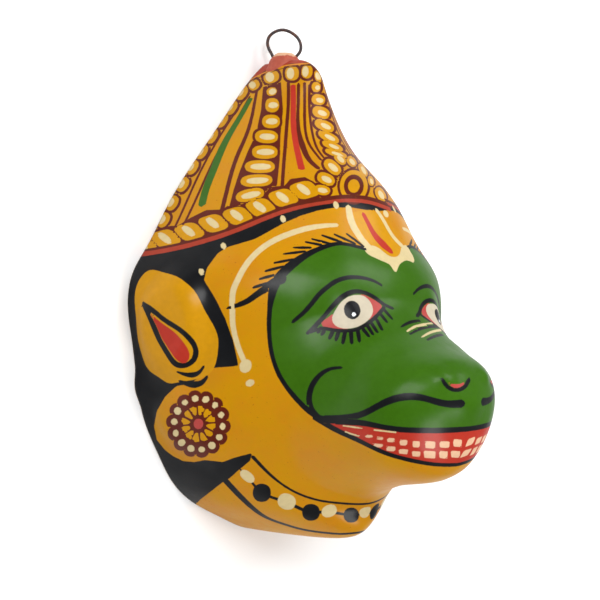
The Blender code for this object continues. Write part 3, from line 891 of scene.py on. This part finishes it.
def mixed(*values):
    """A colour given from 0 to 255 as light: the share to the power 2.4 after its small offset."""
    share = np.array(values) / 255
    light = np.where(share < 0.04045, share / 12.92, ((share + 0.055) / 1.055) ** 2.4)
    return (*(float(value) for value in light), 1.0)


painted = Finish("painted_papier_mache", Coat_Roughness=0.24, Coat_IOR=2.2, Specular_IOR_Level=0.04)
brush_edge = 0.34         # the millimetres over which a stroke's edge fades
broad = painted.noise(55, 3) - 0.5
fine = painted.noise(420, 3) - 0.5
grain = painted.noise(1700, 2) - 0.5
wobble = fine * 0.30 + grain * 0.16
ground = painted.mix((broad * 2.4 + fine * 1.2 + 0.45).clamp(), mixed(*paints["yellow"]),
                     mixed(182, 118, 0))
speck = ((painted.noise(900, 1) - 0.73) * 30).clamp()
colour = painted.mix(speck * 0.5, ground, mixed(120, 62, 8))
stops = [(number / len(paint_names), mixed(*paints[name])) for number, name in enumerate(paint_names)]
for number in range(len(coats)):
    held = painted.node("Attribute", {"attribute_name": f"coat_{number}"}).outputs["Vector"]
    side, reach, paint = (Amount(painted, socket) for socket
                          in painted.node("SeparateXYZ", {}, {0: held}).outputs)
    cover = ((reach - abs(side) + wobble) / brush_edge + 0.5).clamp()
    ramp = painted.node("ValToRGB", {"stops": stops}, {0: (paint + 0.5) / len(paint_names)})
    colour = painted.mix(cover, colour, ramp.outputs[0])
shade = broad * 0.16 + fine * 0.22 + 1.0
tone = painted.node("CombineColor", {}, {"Red": shade, "Green": shade, "Blue": shade})
colour = painted.mix(1.0, colour, tone.outputs[0], "MULTIPLY")
painted.show(Base_Color=colour, Roughness=broad * 0.25 + fine * 0.15 + 0.40,
             Coat_Weight=(broad * 0.18 + 0.072).clamp())
uneven = painted.noise(34, 2) + painted.noise(150, 2) * 0.14 + fine * 0.05 + grain * 0.02
painted.bump(uneven, 0.0011, 0.6)

bare = Finish("bare_paper", Roughness=0.92)
sheets = bare.noise(90, 4, 0.6)
fibres = bare.noise(900, 3, 0.7)
colour = bare.mix(((sheets - 0.5) * 3 + 0.5).clamp(), mixed(150, 118, 82), mixed(196, 168, 128))
colour = bare.mix(((fibres - 0.5) * 1.6 + 0.25).clamp(), colour, mixed(214, 196, 164))
bare.show(Base_Color=colour)
bare.bump(sheets + fibres * 0.3, 0.0006, 0.8)
mesh.materials.append(painted.material)
mesh.materials.append(bare.material)

# The wire loop
# One iron wire is bent into a loop. Its legs stand in the lump of pulp on the crown.
wire = 0.0016
loop_half_width = 0.0084
loop_rise = 0.0170
loop_angle = np.radians(45)
leg_offset = 0.66 * loop_half_width
leg_end = 0.0055          # what a leg reaches past the solid tip, and what is then bent over
loop_depth = 0.133 * head_depth


def beside_axis(offset, height):
    """Place in the loop's plane: so far from its axis and so far above the crown top."""
    return np.array([offset * np.cos(loop_angle), crown_y + height,
                     loop_depth + offset * np.sin(loop_angle)])


def wire_route(count):
    """Middle of the wire from one clinched end round the loop to the other."""
    depth = crown_fill + leg_end
    bend = 2.2 * wire
    ends = []
    for side in (-1, 1):
        heights = (-depth + bend, -crown_fill, -0.5 * crown_fill, 0, 0.16 * loop_rise)
        leg = [beside_axis(side * leg_offset, height) for height in heights]
        elbow = leg[0] + (0, -0.7 * bend, 0.3 * bend)
        start = leg[0] + (0, -bend, bend)
        ends.append([start + (0, 0, leg_end), start, elbow] + leg)
    loop = [(-0.84, 0.36), (-1.00, 0.58), (-0.90, 0.80), (-0.53, 0.95), (-0.13, 1.00),
            (0.45, 0.91), (0.82, 0.745), (0.98, 0.55), (0.90, 0.33)]
    loop = [beside_axis(s * loop_half_width, h * loop_rise) for s, h in loop]
    return along_curve(ends[0] + loop + ends[1][::-1], count)


def tube(route, radius, sides):
    """Rings of points square to a route: the middle plus the radius times the cosine and the
    sine of the way round, on two axes that turn as little as they can along it."""
    tangent = np.gradient(route, axis=0)
    tangent /= np.linalg.norm(tangent, axis=1, keepdims=True)
    first = np.zeros_like(route)
    guide = np.cross(tangent[0], (0.3, 0.5, 0.8))
    for k, direction in enumerate(tangent):
        guide = guide - direction * (guide @ direction)
        guide /= np.linalg.norm(guide)
        first[k] = guide
    second = np.cross(tangent, first)
    way = np.linspace(0, 2 * np.pi, sides, endpoint=False)[:, None]
    radius = np.broadcast_to(radius, len(route))[:, None, None]
    return route[:, None] + radius * (np.cos(way) * first[:, None] + np.sin(way) * second[:, None])


def closed_tube(name, rings):
    """Mesh of rings whose two ends are closed by a pole each."""
    count, sides = rings.shape[:2]
    places = np.concatenate([rings.reshape(-1, 3), rings[:1].mean(axis=1), rings[-1:].mean(axis=1)])
    numbers = np.arange(count * sides).reshape(count, sides)
    numbers = np.concatenate([numbers, numbers[:, :1]], axis=1)
    made = smooth_object(name, places, grid_faces(numbers) + fan_faces(numbers[0], count * sides, True)
                         + fan_faces(numbers[-1], count * sides + 1))
    shape = bmesh.new()
    shape.from_mesh(made.data)
    bmesh.ops.recalc_face_normals(shape, faces=shape.faces)
    shape.to_mesh(made.data)
    shape.free()
    return made


ring = closed_tube("ring", tube(wire_route(260), wire / 2, 16))
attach(ring, "root")
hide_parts("hanging_ring")

rust = Finish("iron_wire", Roughness=0.45, Metallic=0.7)
patches = rust.noise(500, 4, 0.6)
colour = rust.mix(((patches - 0.45) * 5).clamp(), mixed(62, 56, 58), mixed(92, 62, 50))
rust.show(Base_Color=colour, Roughness=patches * 0.4 + 0.3)
rust.bump(patches, 0.0001, 0.5)
ring.data.materials.append(rust.material)

# The lump of pulp
# A pinch of pulp is pressed round the wire's legs, painted red below and left bare on top.
stub_height = 0.0052
hole_gap = 0.0003
hole_lip = 0.0012
shoulder = leg_offset + wire / 2 + hole_gap + hole_lip
neck = leg_offset - wire / 2
lump_profile = np.array([
    (-1.50 * wall, shoulder + 0.62 * wall), (-0.90 * wall, shoulder + 0.40 * wall),
    (-0.30 * wall, shoulder + 0.12 * wall), (0.28 * stub_height, 0.95 * shoulder),
    (0.58 * stub_height, (shoulder + neck) / 2), (0.88 * stub_height, neck),
    (1.00 * stub_height, 0.8 * neck)])


def lump_rings(count, sides):
    """Oval rings round the loop's axis, whose radius follows the profile with the height, with
    low waves from the fingers that pressed it."""
    profile = along_curve(lump_profile, count)
    way = np.linspace(0, 2 * np.pi, sides, endpoint=False)[None, :]
    waves = 0.03 * np.sin(3 * way + 1) + 0.02 * np.sin(5 * way + 260 * profile[:, :1])
    radius = profile[:, 1:] * (1 + waves)
    across = radius * np.cos(way)
    square = 0.72 * radius * np.sin(way)
    return np.stack([across * np.cos(loop_angle) - square * np.sin(loop_angle),
                     crown_y + profile[:, :1] + 0 * way,
                     loop_depth + across * np.sin(loop_angle) + square * np.cos(loop_angle)], axis=-1)


lump = closed_tube("ring_lump", lump_rings(24, 48))
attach(lump, "root")
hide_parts("mask_shell")

pulp = Finish("painted_pulp", Roughness=0.6)
lumps = pulp.noise(420, 3)
height = Amount(pulp, pulp.node("SeparateXYZ", {}, {0: pulp.where}).outputs[1])
bare_from = crown_y + 0.60 * stub_height
ragged = 0.0034           # how far the edge of the red paint goes up and down
fade = 0.0007
bareness = ((height - bare_from + (lumps - 0.5) * ragged) / fade).clamp()
colour = pulp.mix(bareness, pulp.mix(lumps, mixed(142, 50, 32), mixed(182, 84, 58)), mixed(206, 160, 126))
pulp.show(Base_Color=colour)
pulp.bump(lumps, 0.0006, 0.7)
lump.data.materials.append(pulp.material)

# The floor and the light
# A pale sheet lies under the mask, and three soft square lamps above it face its middle.
floor_half = 3.0
floor_level = -0.0005     # just under the rim
floor_mesh = bpy.data.meshes.new("floor")
floor_mesh.from_pydata([(across * floor_half, along * floor_half, floor_level)
                        for across, along in [(-1, -1), (1, -1), (1, 1), (-1, 1)]], [], [(0, 1, 2, 3)])
floor = new_object("floor", floor_mesh)
sheet = Finish("pale_sheet", Base_Color=(0.93, 0.93, 0.93, 1), Roughness=0.9)
floor_mesh.materials.append(sheet.material)
for name, place, size, power in [
        ("left_lamp", (-0.75, 0.75, 1.25), 0.76, 17), ("right_lamp", (0.58, 0.76, 1.05), 0.80, 9),
        ("foot_lamp", (0.20, -0.80, 1.10), 0.60, 8.5)]:
    data = bpy.data.lights.new(name, "AREA")
    data.shape = "SQUARE"
    data.size = size
    data.energy = power
    lamp = new_object(name, data)
    lamp.location = place
    lamp.rotation_euler = (Vector((0, 0, 0.04)) - lamp.location).to_track_quat("-Z", "Y").to_euler()
world = bpy.data.worlds.new("room")
world.use_nodes = True
air = world.node_tree.nodes["Background"].inputs
air["Color"].default_value = (1, 1, 1, 1)
air["Strength"].default_value = 0.42
bpy.context.scene.world = world
